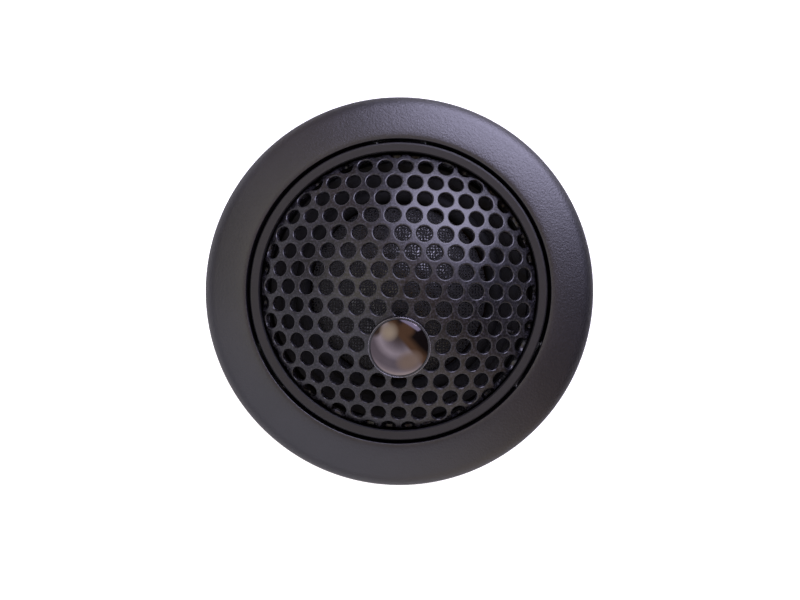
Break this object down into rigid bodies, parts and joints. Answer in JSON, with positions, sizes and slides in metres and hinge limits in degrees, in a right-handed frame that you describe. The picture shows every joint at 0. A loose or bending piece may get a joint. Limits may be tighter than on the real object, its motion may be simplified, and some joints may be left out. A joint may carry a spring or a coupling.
{
  "type": "car tweeter",
  "caption": "Flush-mount dome tweeter for a car: trim ring with collar and spring clips, twist-lock body, perforated dome grille.",
  "frame": {"origin": "on the acoustic axis, at the back face of the trim ring, which seats on the panel", "axes": "+Z along the acoustic axis, out of the front; +Y upwards as the badge hangs below the centre"},
  "size_m": [0.056, 0.056, 0.0282],
  "materials": {
    "ring_plastic": "fine moulded grain, charcoal black",
    "collar_plastic": "moulded, satin black",
    "housing_plastic": "moulded, satin black",
    "spring_steel": "rolled spring steel",
    "pin_steel": "ground steel",
    "grille_steel": "perforated sheet, semi-gloss black powder coat",
    "badge_black": "gloss black",
    "badge_mirror": "smoked chrome",
    "nut_steel": "zinc-plated spring steel",
    "chassis_plastic": "moulded, matt black",
    "frame_plastic": "moulded, matt black",
    "surround_cloth": "doped cloth",
    "silk": "coated silk weave",
    "kapton": "amber polyimide film",
    "copper": "enamelled copper wire",
    "felt": "grey felt",
    "plated_steel": "zinc-plated mild steel",
    "magnet_nickel": "nickel-plated neodymium",
    "board_laminate": "glass-epoxy laminate",
    "lug_brass": "tinned brass",
    "cap_plastic": "moulded, satin black",
    "seal_rubber": "soft rubber",
    "screw_steel": "blackened zinc steel"
  },
  "bodies": {
    "mount": {"trim_ring": "ring_plastic", "mounting_collar": "collar_plastic", "clip_pins": "pin_steel"},
    "clip_1": {"spring_clip_1": "spring_steel"},
    "clip_2": {"spring_clip_2": "spring_steel"},
    "clip_3": {"spring_clip_3": "spring_steel"},
    "tweeter": {"housing_shell": "housing_plastic", "grille": "grille_steel", "badge_base": "badge_black", "badge_cap": "badge_mirror", "badge_push_nut": "nut_steel", "chassis": "chassis_plastic", "diaphragm_ring": "frame_plastic", "surround": "surround_cloth", "damping_pad": "felt", "pole_plate": "plated_steel", "magnet": "magnet_nickel", "yoke_cup": "plated_steel", "terminal_board": "board_laminate", "terminal_lugs": "lug_brass", "lug_rivets": "plated_steel", "lead_wires": "copper", "chamber_felt": "felt", "rear_cap": "cap_plastic", "rear_cap_seal": "seal_rubber", "rear_cap_screws": "screw_steel", "cable_grommet": "seal_rubber"},
    "diaphragm": {"dome": "silk", "coil_former": "kapton", "coil_winding": "copper"}
  },
  "joints": [
    {"name": "twist_lock", "type": "hinge", "parent": "mount", "child": "tweeter", "pos_m": [0, 0, 0], "axis": [0, 0, 1], "range_deg": [0, 30]},
    {"name": "diaphragm_travel", "type": "slide", "parent": "tweeter", "child": "diaphragm", "axis": [0, 0, 1], "range_m": [-0.0003, 0.0003], "stiffness_N_per_m": 1000, "deforming": ["surround"]},
    {"name": "clip_1_press", "type": "hinge", "parent": "mount", "child": "clip_1", "pos_m": [0, 0.0216, -0.0122], "axis": [1, 0, 0], "range_deg": [0, 14], "stiffness_Nm_per_rad": 0.1, "springref_deg": -8.59},
    {"name": "clip_2_press", "type": "hinge", "parent": "mount", "child": "clip_2", "pos_m": [-0.01871, -0.0108, -0.0122], "axis": [-0.5, 0.866, 0], "range_deg": [0, 14], "stiffness_Nm_per_rad": 0.1, "springref_deg": -8.59},
    {"name": "clip_3_press", "type": "hinge", "parent": "mount", "child": "clip_3", "pos_m": [0.01871, -0.0108, -0.0122], "axis": [-0.5, -0.866, 0], "range_deg": [0, 14], "stiffness_Nm_per_rad": 0.1, "springref_deg": -8.59}
  ]
}
